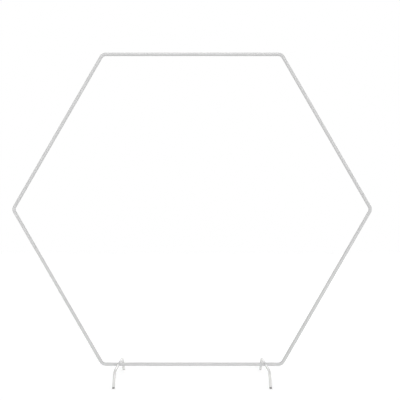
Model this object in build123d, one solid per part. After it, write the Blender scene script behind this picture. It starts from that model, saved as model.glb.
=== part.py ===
"""A hexagonal metal arbor: an upright six-sided frame of round steel tube, 2.2 m wide and 2 m tall,
that stands on two arched feet.

The frame is six bent corner tubes and six straight tubes. Each straight tube has both ends swaged down to
a spigot that pushes into the bore of the corner tube beside it, as far as the swage's cone, and one screw
at the back locks each of these joints. Each foot crosses a bottom corner tube at the tube's own height. It
has two stubs, coped to the corner tube and welded to its front and back, and two bent legs that push onto
the stubs' swaged ends, each locked by a screw from below. A ribbed plug closes each leg's outer end, and
its head is cut flat to the floor.

Millimetres. X runs along the frame, Y from front to back, and Z up. The origin is on the floor, midway
between the four plugs.
"""
import math
import os

from build123d import *

# The hexagon, on its tubes' centre lines
side_length = 1100.0
bottom_tube_height = 88.0
corner_angle = 60.0
corner_bend_radius = 35.0
corner_arm = 275.0

# The two tubes, and the deburred edge of their square-cut ends
frame_tube_od = 20.0
frame_tube_wall = 1.0
leg_tube_od = 16.0
leg_tube_wall = 1.0
end_deburr = 0.3

# The push-fit joints: a swaged spigot in a tube's bore
spigot_clearance = 0.1
swage_cone_length = 2.5
spigot_nose_chamfer = 0.4
frame_spigot_length = 35.0
leg_spigot_length = 30.0

# Each joint's screw: a clear hole in the outer tube and a tapped one in the spigot
frame_screw_inset = 17.5
leg_screw_inset = 15.0
clear_hole_diameter = 5.2
tapped_hole_diameter = 4.2

# The feet
foot_inset = 100.0
foot_span = 460.0
leg_splay = 30.0
leg_bend_radius = 60.0
stub_reach = 50.0
weld_root_gap = 0.2

# The plug in the outer end of each leg
plug_head_od = 15.0
plug_head_length = 7.5
plug_seat_chamfer = 0.2
plug_sole_chamfer = 0.8
plug_stem_length = 16.0
plug_stem_wall = 1.6
plug_rib_count = 4
plug_rib_height = 1.2
plug_rib_thickness = 1.4
plug_clearance = 0.05

# What follows from those
frame_tube_radius = frame_tube_od / 2
frame_bore_radius = frame_tube_radius - frame_tube_wall
leg_tube_radius = leg_tube_od / 2
leg_bore_radius = leg_tube_radius - leg_tube_wall
plug_head_radius = plug_head_od / 2
centre_height = bottom_tube_height + side_length * math.sin(math.radians(corner_angle))
foot_x = side_length / 2 - foot_inset

# A leg's centre line runs from its stub to the shoulder, bends there and goes out to the floor.
leg_direction = Vector(0, 0, 1).rotate(Axis.X, -leg_splay)
leg_on_floor = Vector(0, -foot_span / 2, 0)
leg_shoulder = leg_on_floor + leg_direction * (bottom_tube_height / leg_direction.Z)
leg_outer_end = leg_on_floor + leg_direction * plug_head_length

corner_names = [
    "right_corner_tube",
    "top_right_corner_tube",
    "top_left_corner_tube",
    "left_corner_tube",
    "bottom_left_corner_tube",
    "bottom_right_corner_tube",
]
side_names = [
    "upper_right_tube",
    "top_tube",
    "upper_left_tube",
    "lower_left_tube",
    "bottom_tube",
    "lower_right_tube",
]


def in_frame(distance, angle):
    """The point of the frame's plane at that distance from its middle, and angle from +X towards +Z."""
    turned = math.radians(angle)
    return Vector(distance * math.cos(turned), 0, centre_height + distance * math.sin(turned))


def along_frame(point, angle):
    """The place at a point of the frame where local X is turned from +X towards +Z, with Y kept."""
    return Pos(*point) * Rotation(0, -angle, 0)


def bent_tube(ends, corner, bend_radius, outer_radius, wall):
    """A tube from one end to the other, bent at the corner, with its square-cut ends deburred."""
    path = FilletPolyline(ends[0], corner, ends[1], radius=bend_radius)
    section = Plane(origin=path @ 0, z_dir=path % 0) * (Circle(outer_radius) - Circle(outer_radius - wall))
    tube = sweep(section, path)
    rims = [edge for face in tube.faces().filter_by(GeomType.PLANE) for edge in face.outer_wire().edges()]
    return chamfer(rims, end_deburr)


def swaged_end(joint, outer_radius, wall, spigot_length):
    """The outline, as (distance, radius) points, of a tube's end with its spigot past the joint.

    The cone starts before the joint and just fills the other tube's bore there."""
    bore_radius = outer_radius - wall
    spigot_radius = bore_radius - spigot_clearance
    cone_start = joint - swage_cone_length
    cone_end = joint + swage_cone_length * spigot_clearance / wall
    tip = joint + spigot_length
    return [
        (cone_start, outer_radius),
        (cone_end, spigot_radius),
        (tip - spigot_nose_chamfer, spigot_radius),
        (tip, spigot_radius - spigot_nose_chamfer),
        (tip, spigot_radius - wall),
        (cone_end, spigot_radius - wall),
        (cone_start, bore_radius),
    ]


def turned_about_x(outline):
    """A closed outline of (distance along X, radius) points, turned about X."""
    return revolve(make_face(Polyline(*outline, close=True)), Axis.X)


def screw_drill(diameter, tube_radius):
    """A drill through the back of a tube along X, from its axis outwards."""
    return Pos(0, tube_radius, 0) * Rotation(90, 0, 0) * Cylinder(diameter / 2, 2 * tube_radius)


def screw_drill_below(diameter, tube_radius):
    """A drill through the underside of a tube along Y, from its axis outwards."""
    return Rotation(-90, 0, 0) * screw_drill(diameter, tube_radius)


def corner_tube():
    """A bent tube with its sharp corner at the origin and its arms towards the two neighbouring corners."""
    arm_turn = 180 - corner_angle
    along_x = Vector(corner_arm, 0, 0)
    ends = [along_x.rotate(Axis.Y, -arm_turn), along_x.rotate(Axis.Y, arm_turn)]
    tube = bent_tube(ends, (0, 0, 0), corner_bend_radius, frame_tube_radius, frame_tube_wall)
    drill = Pos(corner_arm - frame_screw_inset, 0, 0) * screw_drill(clear_hole_diameter, frame_tube_radius)
    return tube - [Rotation(0, turn, 0) * drill for turn in (-arm_turn, arm_turn)]


def straight_tube():
    """A tube along X about the origin, with a swaged spigot at each end for the corner tubes' bores."""
    joint = side_length / 2 - corner_arm
    end = swaged_end(joint, frame_tube_radius, frame_tube_wall, frame_spigot_length)
    other_end = [(-x, radius) for x, radius in reversed(end)]
    drill_x = joint + frame_screw_inset
    drill = screw_drill(tapped_hole_diameter, frame_tube_radius)
    return turned_about_x(end + other_end) - [Pos(x, 0, 0) * drill for x in (drill_x, -drill_x)]


def front_stub():
    """The short tube coped and welded to the front of a bottom corner tube, with a spigot for its leg."""
    end = swaged_end(stub_reach, leg_tube_radius, leg_tube_wall, leg_spigot_length)
    stub = Rotation(0, 0, -90) * turned_about_x([(0, leg_tube_radius), *end, (0, leg_bore_radius)])
    stub -= Rotation(0, 90, 0) * Cylinder(frame_tube_radius + weld_root_gap, 2 * leg_tube_od)
    drill = screw_drill_below(tapped_hole_diameter, leg_tube_radius)
    stub -= Pos(0, -stub_reach - leg_screw_inset, 0) * drill
    return Pos(0, 0, bottom_tube_height) * stub


def front_leg():
    """The bent tube that pushes onto the front stub and comes down to its plug."""
    joint = Vector(0, -stub_reach, bottom_tube_height)
    leg = bent_tube([joint, leg_outer_end], leg_shoulder, leg_bend_radius, leg_tube_radius, leg_tube_wall)
    drill = screw_drill_below(clear_hole_diameter, leg_tube_radius)
    return leg - Pos(0, -stub_reach - leg_screw_inset, bottom_tube_height) * drill


def front_plug():
    """The plug in the front leg's outer end: a hollow ribbed stem, and a head cut flat where it stands."""
    grip = leg_bore_radius - plug_clearance
    core = grip - plug_rib_height
    rib_pitch = plug_stem_length / plug_rib_count
    head_end = -plug_head_length - plug_head_od
    ribs = []
    for rib in range(plug_rib_count):
        top = (rib + 1) * rib_pitch
        ribs += [(top - plug_rib_thickness, core), (top - plug_rib_thickness, grip), (top, core)]
    outline = [
        (head_end, 0),
        (head_end, plug_head_radius),
        (-plug_seat_chamfer, plug_head_radius),
        (0, plug_head_radius - plug_seat_chamfer),
        (0, core),
        *ribs,
        (plug_stem_length, core - plug_stem_wall),
        (0, core - plug_stem_wall),
        (0, 0),
    ]
    plug = Rotation(-leg_splay, 0, 0) * Rotation(0, -90, 0) * turned_about_x(outline)
    plug = split(Pos(*leg_outer_end) * plug, bisect_by=Plane.XY, keep=Keep.TOP)
    sole = plug.faces().sort_by(Axis.Z)[0]
    return chamfer(sole.edges(), plug_sole_chamfer)


def build():
    """Every piece of the arbor, by the name of its node."""
    parts = {}
    corner = corner_tube()
    straight = straight_tube()
    middle_distance = side_length * math.cos(math.radians(corner_angle / 2))
    for i, (corner_name, side_name) in enumerate(zip(corner_names, side_names)):
        turn = i * corner_angle
        middle = in_frame(middle_distance, turn + corner_angle / 2)
        parts[corner_name] = along_frame(in_frame(side_length, turn), turn) * corner
        parts[side_name] = along_frame(middle, turn + 180 - corner_angle) * straight

    foot = {"stub": front_stub(), "leg": front_leg(), "plug": front_plug()}
    for side, x in (("left", -foot_x), ("right", foot_x)):
        for end, turn in (("front", 0), ("rear", 180)):
            for piece, shape in foot.items():
                parts[f"{side}_{end}_{piece}"] = Pos(x, 0, 0) * Rotation(0, 0, turn) * shape
    return parts


os.makedirs("parts", exist_ok=True)
for name, shape in build().items():
    export_step(shape, f"parts/{name}.step")
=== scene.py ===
# %% [markdown]
# # A hexagonal metal arbor
# The real object is a free-standing arbor: a hexagon of round steel tube, 2.2 m wide and 2 m tall, on two
# arched feet. Its tubes and plugs are already solids at their real size. This lesson dresses them: it gives
# each surface the finish that the real one has, adds the screws and the welds, and sets up the photograph's
# view. Places are in metres. A length whose name ends in _MM is in millimetres.

# %% Load the solids
import math

import bmesh
import bpy
from mathutils import Matrix, Vector


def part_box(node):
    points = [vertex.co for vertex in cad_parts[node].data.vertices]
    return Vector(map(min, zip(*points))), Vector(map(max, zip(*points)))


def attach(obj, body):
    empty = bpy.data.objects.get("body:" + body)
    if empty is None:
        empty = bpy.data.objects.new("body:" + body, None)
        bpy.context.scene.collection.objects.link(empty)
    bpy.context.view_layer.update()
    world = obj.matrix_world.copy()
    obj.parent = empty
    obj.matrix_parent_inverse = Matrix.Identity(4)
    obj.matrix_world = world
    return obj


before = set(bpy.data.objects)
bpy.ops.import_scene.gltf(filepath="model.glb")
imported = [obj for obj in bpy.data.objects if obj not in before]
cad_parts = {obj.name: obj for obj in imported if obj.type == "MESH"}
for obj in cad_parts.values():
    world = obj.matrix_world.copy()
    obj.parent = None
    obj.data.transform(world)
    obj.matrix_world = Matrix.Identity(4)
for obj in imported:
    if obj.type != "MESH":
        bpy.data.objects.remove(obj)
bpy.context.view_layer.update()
MM = 0.001
print("tubes and plugs loaded:", len(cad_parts))

# %% [markdown]
# ## The camera
# In the photograph the hexagon is regular, so its plane faces the camera square on, and the camera is level.
# The feet show how far away it stood: their front plugs appear lower and further apart than the rear ones.
#
# Tilting the camera would place the arbor in the picture too, but it would make the hexagon taper. A level
# camera keeps it regular, and a shift of the lens, as on a view camera, does the placing.

# %% Place the camera
PICTURE_WIDTH_PX = 400
HEXAGON_MIDDLE_PX = 192.08
HORIZON_PX = 243.4
METRES_PER_PX = 0.0061485
CAMERA_DISTANCE = 3.29
CAMERA_HEIGHT = 0.831
SENSOR_WIDTH_MM = 36


def add_camera():
    """A level camera in front of the frame, with the lens that gives the photograph's scale there."""
    lens = bpy.data.cameras.new("camera")
    lens.sensor_width = SENSOR_WIDTH_MM
    lens.lens = CAMERA_DISTANCE / (METRES_PER_PX * PICTURE_WIDTH_PX) * SENSOR_WIDTH_MM
    lens.shift_x = 0.5 - HEXAGON_MIDDLE_PX / PICTURE_WIDTH_PX
    lens.shift_y = HORIZON_PX / PICTURE_WIDTH_PX - 0.5
    camera = bpy.data.objects.new("camera", lens)
    camera.location = (0, -CAMERA_DISTANCE, CAMERA_HEIGHT)
    camera.rotation_euler = (math.pi / 2, 0, 0)
    bpy.context.scene.collection.objects.link(camera)
    bpy.context.scene.camera = camera
    print(f"lens {lens.lens:.1f} mm, shift {lens.shift_x:.3f} across and {lens.shift_y:.3f} up")


add_camera()

# %% [markdown]
# ## Colours and nodes
# A colour is picked on the screen as an sRGB hex value, but the renderer works with linear light, so one
# function turns the one into the other.

# %% Turn a screen colour into light


def colour(hex_value):
    """The linear colour, with full alpha, of an sRGB hex value such as D0D0D0."""
    parts = [int(hex_value[i : i + 2], 16) / 255 for i in (0, 2, 4)]
    return (*[p / 12.92 if p <= 0.04045 else ((p + 0.055) / 1.055) ** 2.4 for p in parts], 1)


print(f"the screen's middle grey, 808080, sends back {colour('808080')[0]:.0%} of the light")

# %% [markdown]
# A finish is a tree of shader nodes. One function makes a new material with an empty tree, and another adds
# a node to it. It takes the node's kind, its inputs, each of them a plain value or another node's output,
# and its settings. Most inputs go by name. A Mix node has several of one name, so there they go by number:
# 0 is the share, 2 and 3 are the two numbers to mix, and 6 and 7 the two colours. Its output 0 is the mixed
# number, and its output 2 the mixed colour.

# %% Add a node


def add_node(tree, kind, inputs=None, **settings):
    """A new node of that kind, with its settings, and its inputs set to values or linked to other nodes."""
    node = tree.nodes.new(kind)
    for name, value in settings.items():
        setattr(node, name, value)
    for name, value in (inputs or {}).items():
        if isinstance(value, bpy.types.NodeSocket):
            tree.links.new(value, node.inputs[name])
        else:
            node.inputs[name].default_value = value
    return node


def new_tree(name):
    """A new material, and its empty node tree."""
    material = bpy.data.materials.new(name)
    material.use_nodes = True
    material.node_tree.nodes.clear()
    return material, material.node_tree


spare_material, spare_tree = new_tree("spare")
mix_inputs = add_node(spare_tree, "ShaderNodeMix").inputs
print("a Mix node's inputs:", ", ".join(f"{i} {socket.identifier}" for i, socket in enumerate(mix_inputs)))
bpy.data.materials.remove(spare_material)

# %% [markdown]
# A pattern is sized by what it stands for. A noise of scale 1 makes blots about a metre wide, so blots of a
# given width in millimetres need a scale of 1000 over that width. The patterns read Object coordinates.
# Every piece's own origin is the arbor's, so a pattern runs on from one tube to the next without a jump.

# %% Size a pattern in millimetres


def scale_for(width_mm):
    """The scale of a noise whose blots are that wide."""
    return 1 / (width_mm * MM)


print(f"blots of 2 mm need a scale of {scale_for(2):.0f}")

# %% [markdown]
# ## Powder coat
# The tubes are mild steel with a polyester powder coat: dry powder clings to the earthed tube and is baked
# until it melts into one skin. The melt never flows quite flat. It keeps a faint ripple, called orange peel,
# a few millimetres from crest to crest and less than a tenth of one high. It makes reflections waver, and
# its valleys are also painted a shade darker than its crests, as painted shade. The film is also a little
# thicker in some places than in others, which changes its tone and gloss by a trace. One noise could stand
# for both, but the film's blots are 35 times as wide as the peel's, so there are two.

# %% Draw the film and its peel
FILM_WIDTH_MM = 70
PEEL_WIDTH_MM = 2.0


def film_and_peel(tree):
    """Two noises: how thick the film is, and how high its peel stands."""
    place = add_node(tree, "ShaderNodeTexCoord").outputs["Object"]
    film = add_node(
        tree, "ShaderNodeTexNoise", {"Vector": place, "Scale": scale_for(FILM_WIDTH_MM), "Detail": 3}
    )
    peel = add_node(
        tree, "ShaderNodeTexNoise", {"Vector": place, "Scale": scale_for(PEEL_WIDTH_MM), "Detail": 1}
    )
    return film.outputs["Fac"], peel.outputs["Fac"]


print(f"crests of peel along one blot of film: {FILM_WIDTH_MM / PEEL_WIDTH_MM:.0f}")

# %% [markdown]
# Melting powder draws back from sharp edges, so the rim of a cut end or a screw hole looks slightly darker.
# Each edge could be painted by hand, but a Bevel node finds them all: it gives the normal that a rounded edge
# would have. The dot product of that and the true normal is 1 on a smooth surface and less at an edge.

# %% Find the rims
RIM_WIDTH_MM = 0.7
RIM_STARTS = 0.97
RIM_IS_FULL = 0.85


def drawn_back_rims(tree):
    """1 along a sharp edge, and 0 away from it."""
    true_normal = add_node(tree, "ShaderNodeNewGeometry").outputs["Normal"]
    rounded = add_node(tree, "ShaderNodeBevel", {"Radius": RIM_WIDTH_MM * MM}, samples=4)
    sameness = add_node(
        tree, "ShaderNodeVectorMath", {0: true_normal, 1: rounded.outputs[0]}, operation="DOT_PRODUCT"
    )
    rims = add_node(
        tree,
        "ShaderNodeMapRange",
        {"Value": sameness.outputs["Value"], "From Min": RIM_STARTS, "From Max": RIM_IS_FULL},
    )
    return rims.outputs[0]


print(f"a rim starts where the normals differ by {math.degrees(math.acos(RIM_STARTS)):.0f} degrees")

# %% [markdown]
# The tone mixes the film's own tone with the painted shade of the peel's valleys, and the peel has more say
# in it than the film has. A noise seldom leaves the middle of its range, so a Map Range node stretches the
# part that the peel uses to the whole, from 0 in a shaded valley to 1 on a crest.

# %% Colour the coat
PEEL_SHADE_SHARE_OF_TONE = 0.7
PEEL_LOW = 0.38
PEEL_HIGH = 0.62


def coat_colour(tree, film, peel, crest, shaded_valley, edge):
    """The colour of the coat, between that of its crests and the painted shade of its valleys, and that of
    its edges on the rims.
    """
    crests = add_node(
        tree, "ShaderNodeMapRange", {"Value": peel, "From Min": PEEL_LOW, "From Max": PEEL_HIGH}
    )
    film_tone_and_valley_shade = add_node(tree, "ShaderNodeMix", {0: PEEL_SHADE_SHARE_OF_TONE, 2: film, 3: crests.outputs[0]})
    # The valley colour is painted shade: the peel darkens its valleys in the colour as well as through the
    # bump.
    body = add_node(
        tree,
        "ShaderNodeMix",
        {0: film_tone_and_valley_shade.outputs[0], 6: colour(shaded_valley), 7: colour(crest)},
        data_type="RGBA",
    )
    skin = add_node(
        tree,
        "ShaderNodeMix",
        {0: drawn_back_rims(tree), 6: body.outputs[2], 7: colour(edge)},
        data_type="RGBA",
    )
    return skin.outputs[2]


print(f"share of the peel in the tone: {PEEL_SHADE_SHARE_OF_TONE:.0%}")

# %% [markdown]
# A thick film is a little glossier than a thin one, so a Map Range node turns the film's noise into
# roughness. The peel goes into a Bump node, which needs its height in metres. Polyester bends light about as
# much as glass does, which sets how much of it the coat mirrors.

# %% Write the powder coat
FILM_LOW = 0.3
FILM_HIGH = 0.7
THIN_FILM_ROUGHER = 0.05
THICK_FILM_SMOOTHER = 0.03
POLYESTER_IOR = 1.5


def powder_coat(name, crest, shaded_valley, edge, roughness, peel_height_mm):
    """A baked polyester coat, with its colours on crests, in valleys and on drawn-back edges."""
    material, tree = new_tree(name)
    film, peel = film_and_peel(tree)
    gloss = add_node(
        tree,
        "ShaderNodeMapRange",
        {
            "Value": film,
            "From Min": FILM_LOW,
            "From Max": FILM_HIGH,
            "To Min": roughness + THIN_FILM_ROUGHER,
            "To Max": roughness - THICK_FILM_SMOOTHER,
        },
    )
    ripple = add_node(tree, "ShaderNodeBump", {"Height": peel, "Distance": peel_height_mm * MM})
    coat = add_node(
        tree,
        "ShaderNodeBsdfPrincipled",
        {
            "Base Color": coat_colour(tree, film, peel, crest, shaded_valley, edge),
            "Roughness": gloss.outputs[0],
            "IOR": POLYESTER_IOR,
            "Normal": ripple.outputs[0],
        },
    )
    add_node(tree, "ShaderNodeOutputMaterial", {"Surface": coat.outputs[0]})
    return material


print(f"polyester mirrors {((POLYESTER_IOR - 1) / (POLYESTER_IOR + 1)) ** 2:.0%} of what meets it head on")

# %% [markdown]
# The photograph shows two coats. The frame's is a satin light grey, whose tubes have one soft even tone, and
# it runs unbroken across the feet, so the short stubs of the feet share it. The legs' is a glossier
# off-white: it is brightest along the top, where it mirrors the pale wall behind it, and it has a small
# highlight. Its powder flowed out better, so its peel is lower.

# %% Mix the two coats
# In each coat the valley grey is painted shade, darker than its crest grey.
satin_grey_coat = powder_coat(
    "satin_light_grey_powder_coat",
    crest="C0C0C0",
    shaded_valley="BBBBBB",
    edge="A7A7A5",
    roughness=0.44,
    peel_height_mm=0.08,
)
gloss_white_coat = powder_coat(
    "gloss_off_white_powder_coat",
    crest="D4D4D3",
    shaded_valley="CFCFCD",
    edge="B9B9B7",
    roughness=0.14,
    peel_height_mm=0.03,
)
print("coats:", satin_grey_coat.name, "and", gloss_white_coat.name)

# %% [markdown]
# ## The plugs' plastic
# Each leg ends in an injection-moulded polyethylene plug, dyed mid grey. Such plastic is soft and a little
# waxy. Sliding on floors has scuffed patches of the lowest few millimetres paler and rougher, so a noise of
# small patches fades in towards the floor.

# %% Scuff the soles
SCUFF_WIDTH_MM = 1.8
SCUFF_HEIGHT_MM = 4.0


def sole_scuffs(tree, place):
    """Patches up to 1 at the floor, which fade to 0 a few millimetres above it."""
    height = add_node(tree, "ShaderNodeSeparateXYZ", {0: place}).outputs["Z"]
    patches = add_node(
        tree,
        "ShaderNodeTexNoise",
        {"Vector": place, "Scale": scale_for(SCUFF_WIDTH_MM), "Detail": 4, "Roughness": 0.7},
    )
    lowness = add_node(
        tree,
        "ShaderNodeMapRange",
        {"Value": height, "From Min": 0, "From Max": SCUFF_HEIGHT_MM * MM, "To Min": 1, "To Max": 0},
    )
    scuffs = add_node(
        tree, "ShaderNodeMath", {0: patches.outputs["Fac"], 1: lowness.outputs[0]}, operation="MULTIPLY"
    )
    return scuffs.outputs[0]


print("scuffs end", SCUFF_HEIGHT_MM, "mm above the floor")

# %% [markdown]
# The plug's mould was spark-eroded, which leaves a fine even grain about 0.4 mm wide. Its hollows are
# painted a darker grey than its crests, as painted shade. It is drawn at 0.8 mm, so that a close view shows
# it.

# %% Mould the plug plastic
GRAIN_WIDTH_MM = 0.8
GRAIN_HEIGHT_MM = 0.07
GRAIN_LOW = 0.35
GRAIN_HIGH = 0.65
# The hollows' darker grey is painted shade in the grain.
SHADED_HOLLOW_GREY = "737373"
CREST_GREY = "818181"
SCUFFED_GREY = "B2B1AC"
MOULDED_ROUGHNESS = 0.5
SCUFFED_ROUGHNESS = 0.75
POLYETHYLENE_IOR = 1.51


def moulded_polyethylene():
    """Mid grey plastic with a fine grain whose hollows are in painted shade, scuffed where it stands on the
    floor.
    """
    material, tree = new_tree("moulded_grey_polyethylene")
    place = add_node(tree, "ShaderNodeTexCoord").outputs["Object"]
    scuffs = sole_scuffs(tree, place)
    grain = add_node(
        tree, "ShaderNodeTexNoise", {"Vector": place, "Scale": scale_for(GRAIN_WIDTH_MM), "Detail": 2}
    ).outputs["Fac"]
    crests = add_node(
        tree, "ShaderNodeMapRange", {"Value": grain, "From Min": GRAIN_LOW, "From Max": GRAIN_HIGH}
    )
    body = add_node(
        tree,
        "ShaderNodeMix",
        {0: crests.outputs[0], 6: colour(SHADED_HOLLOW_GREY), 7: colour(CREST_GREY)},
        data_type="RGBA",
    )
    skin = add_node(
        tree, "ShaderNodeMix", {0: scuffs, 6: body.outputs[2], 7: colour(SCUFFED_GREY)}, data_type="RGBA"
    )
    dullness = add_node(
        tree,
        "ShaderNodeMapRange",
        {"Value": scuffs, "To Min": MOULDED_ROUGHNESS, "To Max": SCUFFED_ROUGHNESS},
    )
    texture = add_node(tree, "ShaderNodeBump", {"Height": grain, "Distance": GRAIN_HEIGHT_MM * MM})
    plastic = add_node(
        tree,
        "ShaderNodeBsdfPrincipled",
        {
            "Base Color": skin.outputs[2],
            "Roughness": dullness.outputs[0],
            "IOR": POLYETHYLENE_IOR,
            "Normal": texture.outputs[0],
        },
    )
    add_node(tree, "ShaderNodeOutputMaterial", {"Surface": plastic.outputs[0]})
    return material


grey_plastic = moulded_polyethylene()
print("plastic:", grey_plastic.name)

# %% [markdown]
# ## The screws' zinc
# The screws are steel with a bright zinc plate. Plated small parts tumble together in a barrel, which leaves
# dents and rubbed patches about a millimetre wide, with a cool blue-grey tint. One even shine would look like
# chrome, so one noise drives the tint, the polish and the dents together.

# %% Plate the screws
TUMBLE_WIDTH_MM = 1.2
TUMBLE_HEIGHT_MM = 0.02
DENTED_ZINC = "B9BDC2"
RUBBED_ZINC = "D3D5D6"
DENTED_ROUGHNESS = 0.42
RUBBED_ROUGHNESS = 0.2


def barrel_zinc():
    """Bright zinc plate with the marks of barrel plating."""
    material, tree = new_tree("barrel_plated_zinc")
    place = add_node(tree, "ShaderNodeTexCoord").outputs["Object"]
    marks = add_node(
        tree, "ShaderNodeTexNoise", {"Vector": place, "Scale": scale_for(TUMBLE_WIDTH_MM), "Detail": 3}
    ).outputs["Fac"]
    tint = add_node(
        tree,
        "ShaderNodeMix",
        {0: marks, 6: colour(DENTED_ZINC), 7: colour(RUBBED_ZINC)},
        data_type="RGBA",
    )
    polish = add_node(
        tree, "ShaderNodeMapRange", {"Value": marks, "To Min": DENTED_ROUGHNESS, "To Max": RUBBED_ROUGHNESS}
    )
    dents = add_node(tree, "ShaderNodeBump", {"Height": marks, "Distance": TUMBLE_HEIGHT_MM * MM})
    plate = add_node(
        tree,
        "ShaderNodeBsdfPrincipled",
        {
            "Base Color": tint.outputs[2],
            "Metallic": 1.0,
            "Roughness": polish.outputs[0],
            "Normal": dents.outputs[0],
        },
    )
    add_node(tree, "ShaderNodeOutputMaterial", {"Surface": plate.outputs[0]})
    return material


zinc_plate = barrel_zinc()
print("plate:", zinc_plate.name)

# %% [markdown]
# ## Finishes on the solids
# Each solid gets one finish, and its name says which: the legs are white, the plugs are plastic, and all the
# rest is frame. A round tube must not show the flat facets that it is drawn with, so the finish goes on the
# solid's own smooth shading and nothing is rebuilt.

# %% Dress every solid


def finish_of(node_name):
    """The material for the solid of that name."""
    if node_name.endswith("_leg"):
        return gloss_white_coat
    if node_name.endswith("_plug"):
        return grey_plastic
    return satin_grey_coat


for node_name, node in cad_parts.items():
    node.data.materials.clear()
    node.data.materials.append(finish_of(node_name))
print("dressed:", ", ".join(sorted(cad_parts)))

# %% [markdown]
# ## A shape becomes a piece
# New pieces are shaped in a bmesh, in millimetres about their own origin, because that is how such parts are
# drawn. At the end the shape is scaled to metres and put in its place, and only then becomes an object, which
# stays at the origin. Its edges sharper than 35 degrees are kept crisp, and the others are shaded smooth.

# %% Turn a shape into a piece
SHARP_ANGLE = 35


def add_piece(name, shape, place, material):
    """An object made of the shape, in millimetres, at that place, riding on the arbor."""
    bmesh.ops.transform(shape, matrix=place @ Matrix.Scale(MM, 4), verts=shape.verts)
    bmesh.ops.recalc_face_normals(shape, faces=shape.faces)
    mesh = bpy.data.meshes.new(name)
    shape.to_mesh(mesh)
    shape.free()
    mesh.shade_smooth()
    mesh.set_sharp_from_angle(angle=math.radians(SHARP_ANGLE))
    mesh.materials.append(material)
    piece = bpy.data.objects.new(name, mesh)
    bpy.context.scene.collection.objects.link(piece)
    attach(piece, "root")
    return piece


print("edges sharper than", SHARP_ANGLE, "degrees stay crisp")

# %% [markdown]
# ## The screws
# One M5 screw locks each tube joint: a button head with a hexagon socket, 9.5 mm across and 2.75 mm high. It
# could be a turned outline with the socket cut out by a boolean. Insets do it without a cut: a short
# cylinder's top face is inset and raised along a curve, which makes the dome, inset once more, pressed into a
# hexagon, and pushed down. With 24 sides, every fourth corner of the ring is a corner of the hexagon.

# %% Shape a button head
HEAD_SIDES = 24
HEAD_RADIUS_MM = 4.75
HEAD_HEIGHT_MM = 2.75
HEAD_RIM_MM = 0.5
HEAD_CROWN_RADIUS_MM = 2.5
DOME_STEPS = 5
SOCKET_ACROSS_FLATS_MM = 3.0
SOCKET_DEPTH_MM = 1.7


def hexagon_radius(x, y, across_flats):
    """How far from the middle the side of a hexagon lies in the direction of that point."""
    sixth = math.pi / 3
    return across_flats / 2 / math.cos(math.atan2(y, x) % sixth - sixth / 2)


def raise_dome(shape, top):
    """Inset the top face in steps that rise along a quarter of an ellipse."""
    inward = HEAD_RADIUS_MM - HEAD_CROWN_RADIUS_MM
    upward = HEAD_HEIGHT_MM - HEAD_RIM_MM
    turns = [math.pi / 2 * step / DOME_STEPS for step in range(DOME_STEPS + 1)]
    for before, after in zip(turns, turns[1:]):
        bmesh.ops.inset_region(
            shape,
            faces=[top],
            thickness=inward * (math.cos(before) - math.cos(after)),
            depth=upward * (math.sin(after) - math.sin(before)),
        )


def add_button_head(shape):
    """A button head about Z on z = 0, with a socket in its top."""
    bmesh.ops.create_cone(
        shape,
        cap_ends=True,
        segments=HEAD_SIDES,
        radius1=HEAD_RADIUS_MM,
        radius2=HEAD_RADIUS_MM,
        depth=HEAD_RIM_MM,
        matrix=Matrix.Translation((0, 0, HEAD_RIM_MM / 2)),
    )
    top = max(shape.faces, key=lambda face: face.calc_center_median().z)
    raise_dome(shape, top)
    bmesh.ops.inset_region(shape, faces=[top], thickness=HEAD_CROWN_RADIUS_MM - SOCKET_ACROSS_FLATS_MM / 2)
    for corner in top.verts:
        reach = hexagon_radius(corner.co.x, corner.co.y, SOCKET_ACROSS_FLATS_MM)
        corner.co.xy = corner.co.xy.normalized() * reach
    bottom = bmesh.ops.extrude_discrete_faces(shape, faces=[top])["faces"][0]
    bmesh.ops.translate(shape, verts=bottom.verts, vec=(0, 0, -SOCKET_DEPTH_MM))


print(f"the socket's corners lie {hexagon_radius(1, 0, SOCKET_ACROSS_FLATS_MM):.2f} mm from its middle")

# %% [markdown]
# The shank has a real M5 thread, 0.8 mm from crest to crest. A plain rod with bump would look the same from
# afar, but the exported mesh would be a smooth pin. So the outline of one tooth is spun about the axis and
# climbs by one pitch a turn, and each turn's root meets the next one's, where they merge into one skin. The
# ragged first and last turns are cut off square, and the cuts are filled. The thread starts half a step low,
# because a cut straight through a corner would leave slivers.

# %% Shape a threaded shank
THREAD_PITCH_MM = 0.8
THREAD_CREST_RADIUS_MM = 2.5
THREAD_ROOT_RADIUS_MM = 2.05
STEPS_A_TURN = 16
SPARE_TURNS = 2
SHANK_LENGTH_MM = 12.0
SHANK_IN_HEAD_MM = 0.3
MERGE_WITHIN_MM = 0.01


def spun_thread(lowest, turns):
    """An open skin of that many turns of thread about Z, from that height upwards."""
    tooth = [
        (THREAD_ROOT_RADIUS_MM, lowest),
        (THREAD_CREST_RADIUS_MM, lowest + THREAD_PITCH_MM / 2),
        (THREAD_ROOT_RADIUS_MM, lowest + THREAD_PITCH_MM),
    ]
    thread = bmesh.new()
    corners = [thread.verts.new((radius, 0, z)) for radius, z in tooth]
    flanks = [thread.edges.new(pair) for pair in zip(corners, corners[1:])]
    bmesh.ops.spin(
        thread,
        geom=corners + flanks,
        axis=(0, 0, 1),
        dvec=(0, 0, THREAD_PITCH_MM / STEPS_A_TURN),
        angle=turns * 2 * math.pi,
        steps=turns * STEPS_A_TURN,
    )
    bmesh.ops.remove_doubles(thread, verts=thread.verts, dist=MERGE_WITHIN_MM)
    return thread


def cut_square(thread, height, outward):
    """Cut off what lies beyond that height, and fill the cut."""
    everything = thread.verts[:] + thread.edges[:] + thread.faces[:]
    cut = bmesh.ops.bisect_plane(
        thread, geom=everything, plane_co=(0, 0, height), plane_no=(0, 0, outward), clear_outer=True
    )
    rim = [item for item in cut["geom_cut"] if isinstance(item, bmesh.types.BMEdge)]
    bmesh.ops.edgeloop_fill(thread, edges=rim)


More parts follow.
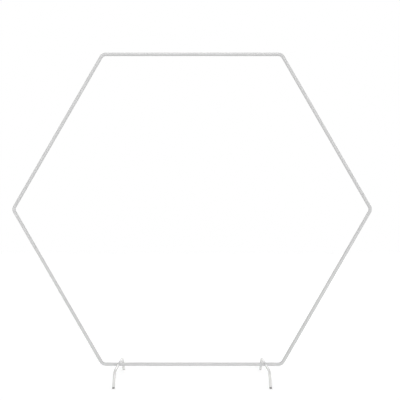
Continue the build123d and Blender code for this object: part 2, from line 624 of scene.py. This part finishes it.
def add_shank(shape):
    """A threaded shank about Z from just inside the head, above z = 0, down to its tip."""
    turns = math.ceil((SHANK_LENGTH_MM + SHANK_IN_HEAD_MM) / THREAD_PITCH_MM) + SPARE_TURNS
    half_step = THREAD_PITCH_MM / STEPS_A_TURN / 2
    thread = spun_thread(-SHANK_LENGTH_MM - THREAD_PITCH_MM - half_step, turns)
    cut_square(thread, SHANK_IN_HEAD_MM, 1)
    cut_square(thread, -SHANK_LENGTH_MM, -1)
    spare = bpy.data.meshes.new("thread")
    thread.to_mesh(spare)
    thread.free()
    shape.from_mesh(spare)
    bpy.data.meshes.remove(spare)


print(f"turns on the shank: {SHANK_LENGTH_MM / THREAD_PITCH_MM:.0f}")

# %% [markdown]
# Places could be typed in, but a solid's box already tells where it is and how thick its tube is.

# %% Measure the solids
side_tubes = [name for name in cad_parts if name.endswith("_tube") and "corner" not in name]
feet = [name.removesuffix("_leg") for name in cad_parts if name.endswith("_leg")]


def middle_of(node_name):
    """The middle of that solid's box."""
    low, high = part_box(node_name)
    return (low + high) / 2


def size_of(node_name):
    """The size of that solid's box along X, Y and Z."""
    low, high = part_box(node_name)
    return high - low


def is_in_front(node_name):
    """Whether that solid is on the camera's side of the hexagon."""
    return middle_of(node_name).y < 0


hexagon_middle = sum((middle_of(name) for name in side_tubes), Vector()) / len(side_tubes)
frame_tube_radius = size_of("top_tube").y / 2
print(f"the hexagon's middle is {hexagon_middle.z:.3f} m up")

# %% [markdown]
# A screw goes through the corner tube into the spigot, halfway along it, at the back. The spigot belongs to a
# straight tube, so that tube's box gives the place: it is centred on one side of the hexagon, and it runs at
# right angles to the line from the hexagon's middle. The top tube lies level, so its box gives the length of
# all six. A leg's screw goes in from below, halfway along the spigot of its stub.

# %% Put in the screws
FRAME_SCREW_FROM_TIP = 17.5 * MM
LEG_SCREW_FROM_TIP = 15 * MM


def add_screw(name, seat, outward):
    """A screw whose head sits at that point of the arbor and faces outward."""
    shape = bmesh.new()
    add_button_head(shape)
    add_shank(shape)
    turn = Vector(outward).to_track_quat("Z", "Y").to_matrix().to_4x4()
    add_piece(name, shape, Matrix.Translation(seat) @ turn, zinc_plate)


screw_from_middle = size_of("top_tube").x / 2 - FRAME_SCREW_FROM_TIP
for name in side_tubes:
    outward = (middle_of(name) - hexagon_middle).normalized()
    along = outward.cross(Vector((0, 1, 0)))
    for end, direction in (("first", along), ("second", -along)):
        seat = middle_of(name) + direction * screw_from_middle + Vector((0, frame_tube_radius, 0))
        add_screw(f"{name}_{end}_screw", seat, (0, 1, 0))

for foot in feet:
    stub = f"{foot}_stub"
    low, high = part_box(stub)
    y = low.y + LEG_SCREW_FROM_TIP if is_in_front(stub) else high.y - LEG_SCREW_FROM_TIP
    add_screw(f"{foot}_leg_screw", (middle_of(stub).x, y, low.z), (0, 0, -1))
print("screws:", 2 * len(side_tubes), "in the frame and", len(feet), "in the feet")

# %% [markdown]
# ## The welds
# Each stub is welded to its corner tube all the way round, before the two are coated. The bead follows the
# line where the small tube meets the big one, which is a saddle: the big tube's surface falls away above and
# below. Each pulse of the torch leaves a curved ridge, so the bead looks like a row of overlapping coins.
#
# A curve with a round section could give a plain bead. A small circle spun about the stub gives a ring whose
# points can be moved one by one: out along the stub by the height of the saddle there, and away from the
# middle of the bead by the ridge that they lie on. No hand moves a torch quite evenly, so the bead wanders a
# little too.

# %% Bend a ring into a weld
BEAD_RADIUS_MM = 1.5
RIDGES = 26
RIDGE_HEIGHT = 0.12
RIDGE_BOW = 0.9
BEAD_WANDER_MM = 0.12
WANDERS_A_TURN = 3
WANDER_START = 0.7


def bend_into_saddle(shape, stub_radius_mm, tube_radius_mm):
    """Move a plain ring's points onto the saddle and raise the weld's ridges."""
    for point in shape.verts:
        angle = math.atan2(point.co.z, point.co.x)
        outward = Vector((math.cos(angle), 0, math.sin(angle)))
        middle = outward * stub_radius_mm
        offset = point.co - middle
        across = offset.y / BEAD_RADIUS_MM
        ridge = 1 + RIDGE_HEIGHT * math.cos(RIDGES * angle + RIDGE_BOW * math.pi * across**2)
        saddle = math.sqrt(tube_radius_mm**2 - (stub_radius_mm * math.sin(angle)) ** 2)
        wander = BEAD_WANDER_MM * math.sin(WANDERS_A_TURN * angle + WANDER_START)
        point.co = middle + offset * ridge + Vector((0, saddle + wander, 0))


print(f"a ridge every {360 / RIDGES:.0f} degrees, {RIDGE_HEIGHT * BEAD_RADIUS_MM:.2f} mm high")

# %% [markdown]
# The ring is made about the stub's own axis, and then turned to the front or left at the back. The frame is
# coated after it is welded, so the beads wear the frame's coat.

# %% Lay the weld beads
BEAD_SIDES = 10
STEPS_A_RIDGE = 6


def add_weld(foot):
    """The bead where that foot's stub meets its corner tube."""
    stub = f"{foot}_stub"
    stub_radius_mm = size_of(stub).x / 2 / MM
    shape = bmesh.new()
    section = bmesh.ops.create_circle(
        shape, segments=BEAD_SIDES, radius=BEAD_RADIUS_MM, matrix=Matrix.Translation((stub_radius_mm, 0, 0))
    )
    edges = {edge for corner in section["verts"] for edge in corner.link_edges}
    bmesh.ops.spin(
        shape,
        geom=[*section["verts"], *edges],
        axis=(0, 1, 0),
        angle=2 * math.pi,
        steps=RIDGES * STEPS_A_RIDGE,
        use_merge=True,
    )
    bend_into_saddle(shape, stub_radius_mm, frame_tube_radius / MM)
    place = Matrix.Translation((middle_of(stub).x, 0, middle_of(stub).z))
    if is_in_front(stub):
        place = place @ Matrix.Rotation(math.pi, 4, "Z")
    bead = add_piece(f"{foot}_weld", shape, place, satin_grey_coat)


for foot in feet:
    add_weld(foot)
print("welds:", len(feet), "with", RIDGES, "ridges each")

# %% [markdown]
# ## The stage
# The photograph is a cut-out on pure white. The floor could be lit until it clips, but then the arbor would
# be lit too brightly as well. Instead the floor and the world answer each ray by its kind. A ray that is
# seen, straight from the camera, mirrored or through glass, meets white. One that only gathers light for a
# surface meets something dimmer. A Light Path node tells them apart, and a Maximum stands for "or".

# %% Tell what is seen from what is gathered
SEEN_RAYS = ("Is Camera Ray", "Is Glossy Ray", "Is Transmission Ray")


def is_seen(tree):
    """1 for a ray that is seen, and 0 for one that only gathers light."""
    path = add_node(tree, "ShaderNodeLightPath").outputs
    seen = path[SEEN_RAYS[0]]
    for ray in SEEN_RAYS[1:]:
        seen = add_node(tree, "ShaderNodeMath", {0: seen, 1: path[ray]}, operation="MAXIMUM").outputs[0]
    return seen


print("rays that meet white:", ", ".join(SEEN_RAYS))

# %% [markdown]
# The floor is a matt pale grey with a glow of its own, so that the arbor's shadow still shows on it. A seen
# ray meets the stronger glow, and one that gathers light for the undersides of the tubes a weaker one.

# %% Lay the floor
FLOOR_SIZE = 80.0
FLOOR_GREY = "EFEFEF"
FLOOR_GLOW_SEEN = 0.29
FLOOR_GLOW_GATHERED = 0.22


def studio_paper():
    """Matt pale grey paper with a glow of its own."""
    material, tree = new_tree("white_studio_paper")
    matt = add_node(tree, "ShaderNodeBsdfDiffuse", {"Color": colour(FLOOR_GREY)})
    strength = add_node(
        tree,
        "ShaderNodeMapRange",
        {"Value": is_seen(tree), "To Min": FLOOR_GLOW_GATHERED, "To Max": FLOOR_GLOW_SEEN},
    )
    glow = add_node(tree, "ShaderNodeEmission", {"Strength": strength.outputs[0]})
    both = add_node(tree, "ShaderNodeAddShader", {0: matt.outputs[0], 1: glow.outputs[0]})
    add_node(tree, "ShaderNodeOutputMaterial", {"Surface": both.outputs[0]})
    return material


def add_floor():
    """A wide level sheet at the plugs' soles."""
    shape = bmesh.new()
    bmesh.ops.create_grid(shape, x_segments=1, y_segments=1, size=FLOOR_SIZE / 2)
    mesh = bpy.data.meshes.new("floor")
    shape.to_mesh(mesh)
    shape.free()
    mesh.materials.append(studio_paper())
    floor = bpy.data.objects.new("floor", mesh)
    bpy.context.scene.collection.objects.link(floor)


add_floor()
print("floor:", FLOOR_SIZE, "m square")

# %% [markdown]
# Beyond the floor's edge a seen ray meets a white world. The light itself comes from a studio whose walls are
# white and whose ceiling is dim, so a surface that faces up is darker than one that faces the camera. That
# shows on the feet: they are darker on the shoulder, where the leg turns down, than below it. The walls give
# way to the ceiling between two heights of the ray's direction, where 0 is level and 1 is straight up.

# %% Light the world
WALL_LIGHT = 1.0
CEILING_LIGHT = 0.42
CEILING_STARTS = 0.5
CEILING_IS_FULL = 0.9
BACKDROP_LIGHT = 1.0


def add_world():
    """White where it is seen, and white walls under a dim ceiling where its light is gathered."""
    world = bpy.data.worlds.new("studio")
    world.use_nodes = True
    tree = world.node_tree
    tree.nodes.clear()
    direction = add_node(tree, "ShaderNodeTexCoord").outputs["Generated"]
    upward = add_node(tree, "ShaderNodeSeparateXYZ", {0: direction}).outputs["Z"]
    strength = add_node(
        tree,
        "ShaderNodeMapRange",
        {
            "Value": upward,
            "From Min": CEILING_STARTS,
            "From Max": CEILING_IS_FULL,
            "To Min": WALL_LIGHT,
            "To Max": CEILING_LIGHT,
        },
    )
    white = colour("FFFFFF")
    studio = add_node(tree, "ShaderNodeBackground", {"Color": white, "Strength": strength.outputs[0]})
    backdrop = add_node(tree, "ShaderNodeBackground", {"Color": white, "Strength": BACKDROP_LIGHT})
    choice = add_node(
        tree, "ShaderNodeMixShader", {0: is_seen(tree), 1: studio.outputs[0], 2: backdrop.outputs[0]}
    )
    add_node(tree, "ShaderNodeOutputWorld", {"Surface": choice.outputs[0]})
    bpy.context.scene.world = world


add_world()
bpy.context.scene.view_settings.view_transform = "Standard"
print("light of the walls", WALL_LIGHT, "and of the ceiling", CEILING_LIGHT)

# %% [markdown]
# ## The lamps
# A broad lamp near a tube lights its near end more than its far end, and the photographed tubes have one even
# tone. A sun lamp gives every tube the same light, and a wide angle makes it as soft as a big softbox. The
# strongest shines from low behind the camera, so that tubes seen from below are as light as tubes seen from
# above. A small one, high in front, is seen only in reflections, and makes the highlight where each front leg
# turns down.
#
# Only the direction of a sun lamp matters, not its place. Each is put a few metres out on the side that it
# shines from, so that it is easy to find in the viewport.

# %% Add the lamps
LAMP_DISTANCE = 3
LAMPS = {
    "key": {"strength": 0.93, "angle": 40, "shines_from": (0.0, -1.0, 0.2), "lights_matt": True},
    "back": {"strength": 0.55, "angle": 40, "shines_from": (0.1, 1.0, 0.57), "lights_matt": True},
    "side": {"strength": 0.2, "angle": 40, "shines_from": (1.0, -0.3, 0.15), "lights_matt": True},
    "spark": {"strength": 2.0, "angle": 10, "shines_from": (0.0, -1.0, 1.38), "lights_matt": False},
}


def add_lamp(name, strength, angle, shines_from, lights_matt):
    """A sun lamp that shines from that direction and looks that many degrees wide."""
    light = bpy.data.lights.new(name, "SUN")
    light.energy = strength
    light.angle = math.radians(angle)
    lamp = bpy.data.objects.new(name, light)
    lamp.rotation_euler = Vector(shines_from).to_track_quat("Z", "Y").to_euler()
    lamp.location = Vector(shines_from) * LAMP_DISTANCE
    lamp.visible_diffuse = lights_matt
    bpy.context.scene.collection.objects.link(lamp)


for lamp_name, lamp_settings in LAMPS.items():
    add_lamp(lamp_name, **lamp_settings)
print("lamps:", ", ".join(LAMPS))
